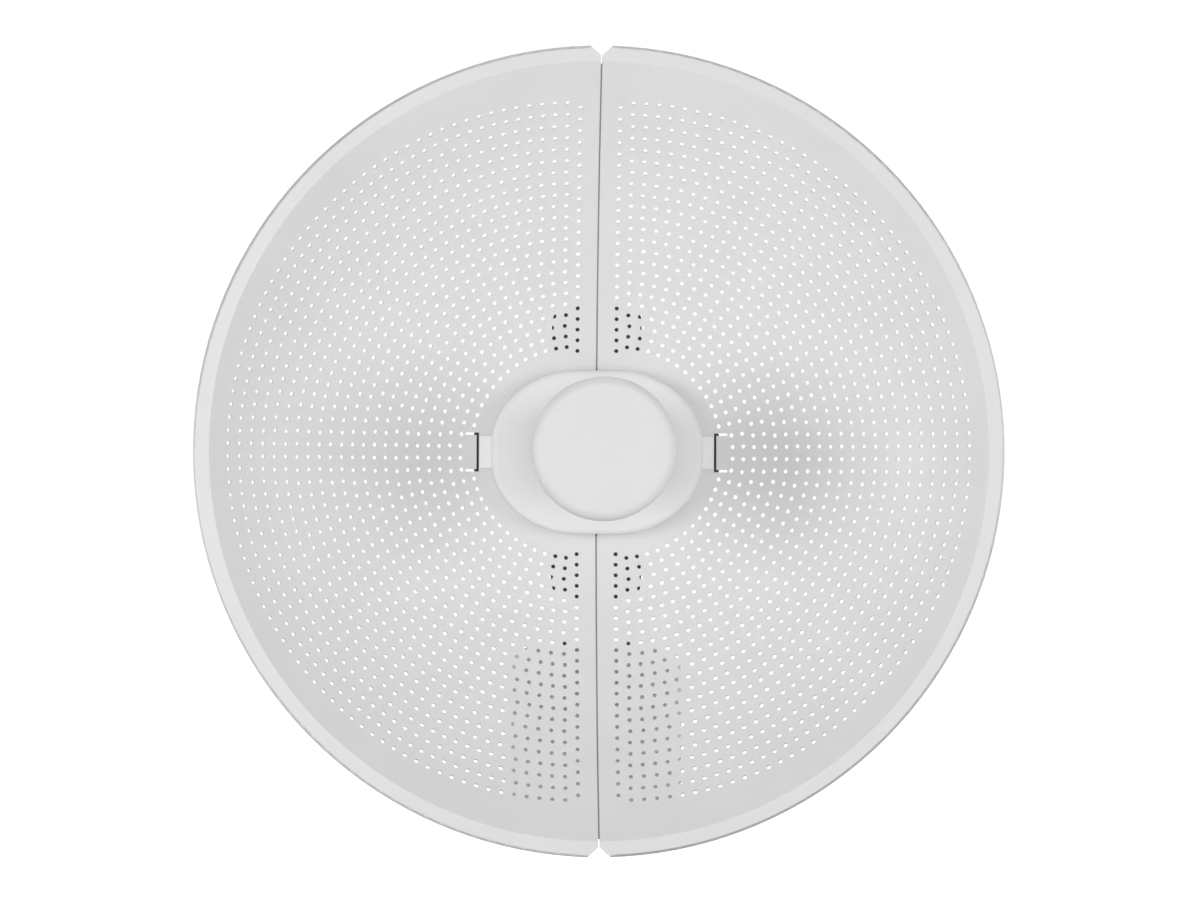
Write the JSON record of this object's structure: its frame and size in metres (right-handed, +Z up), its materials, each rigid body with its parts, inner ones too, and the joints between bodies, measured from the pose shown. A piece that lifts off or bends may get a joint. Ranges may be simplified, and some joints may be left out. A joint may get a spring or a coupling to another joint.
{
  "type": "outdoor wireless bridge",
  "caption": "Pole-mounted outdoor wireless bridge: a split perforated steel dish with a central feed, radio box, tilt joint and worm-drive pole clamps.",
  "frame": {"origin": "on the pole's axis, level with the dish's axis, midway between the two band clamps", "axes": "the dish faces -Y, +Z is up along the pole, +X is to the right as seen from the front"},
  "size_m": [0.4, 0.2778, 0.3998],
  "materials": {
    "dish_sheet": "satin",
    "white_plastic": "satin",
    "box_plastic": "satin",
    "clear_white_plastic": "satin",
    "dark_plastic": "matte",
    "black_plastic": "satin",
    "grey_plastic": "matte",
    "black_rubber": "matte",
    "lead_jacket": "satin",
    "bare_aluminium": "satin",
    "circuit_board": "satin",
    "brass_pins": "satin",
    "tinned_steel": "satin",
    "zinc_steel": "satin",
    "stainless": "satin",
    "light_pipe": "gloss"
  },
  "bodies": {
    "pole_mount": {"pole_saddle": "dark_plastic", "saddle_pads": "black_rubber", "tilt_bolt": "zinc_steel", "tilt_washers": "zinc_steel", "clamp_band_upper": "stainless", "clamp_housing_upper": "stainless", "clamp_band_lower": "stainless", "clamp_housing_lower": "stainless"},
    "aimed_unit": {"reflector_left": "dish_sheet", "reflector_right": "dish_sheet", "hub_plinth": "white_plastic", "feed_neck": "white_plastic", "feed_cap": "white_plastic", "sub_reflector": "bare_aluminium", "dielectric_spacer": "clear_white_plastic", "waveguide": "bare_aluminium", "backshort": "bare_aluminium", "probe_board": "circuit_board", "probes": "brass_pins", "cradle": "dark_plastic", "cradle_screws": "zinc_steel", "spine_cover": "dark_plastic", "coax_leads": "lead_jacket", "radio_front_shell": "box_plastic", "radio_rear_shell": "box_plastic", "shell_seal": "black_rubber", "shell_screws": "zinc_steel", "hanger_screws": "zinc_steel", "main_board": "circuit_board", "shielding_can": "tinned_steel", "heat_spreader": "bare_aluminium", "ethernet_jack": "tinned_steel", "reset_switch": "black_plastic", "light_pipe": "light_pipe", "vent_plug": "grey_plastic", "earth_insert": "brass_pins", "earth_washer": "zinc_steel", "earth_screw": "zinc_steel", "door_pin": "zinc_steel"},
    "wing_nut": {"wing_nut": "zinc_steel"},
    "worm_upper": {"worm_screw_upper": "zinc_steel"},
    "worm_lower": {"worm_screw_lower": "zinc_steel"},
    "port_door": {"port_door": "box_plastic", "cable_gland": "black_rubber"},
    "reset_button": {"reset_button": "black_plastic"}
  },
  "joints": [
    {"name": "elevation", "type": "hinge", "parent": "pole_mount", "child": "aimed_unit", "pos_m": [0, -0.052, 0], "axis": [1, 0, 0], "range_deg": [-25, 15]},
    {"name": "wing_nut_turn", "type": "hinge", "parent": "pole_mount", "child": "wing_nut", "pos_m": [0.03, -0.052, 0], "axis": [1, 0, 0], "continuous": true},
    {"name": "band_screw_upper_turn", "type": "hinge", "parent": "pole_mount", "child": "worm_upper", "pos_m": [0.0306, 0, 0.026], "axis": [0, 1, 0], "continuous": true},
    {"name": "band_screw_lower_turn", "type": "hinge", "parent": "pole_mount", "child": "worm_lower", "pos_m": [0.0306, 0, -0.026], "axis": [0, 1, 0], "continuous": true},
    {"name": "port_door_hinge", "type": "hinge", "parent": "aimed_unit", "child": "port_door", "pos_m": [0, -0.10014, -0.18534], "axis": [-1, 0, 0], "range_deg": [0, 85]},
    {"name": "reset_press", "type": "slide", "parent": "aimed_unit", "child": "reset_button", "axis": [0, 0, 1], "range_m": [0, 0.0008], "stiffness_N_per_m": 1500}
  ]
}
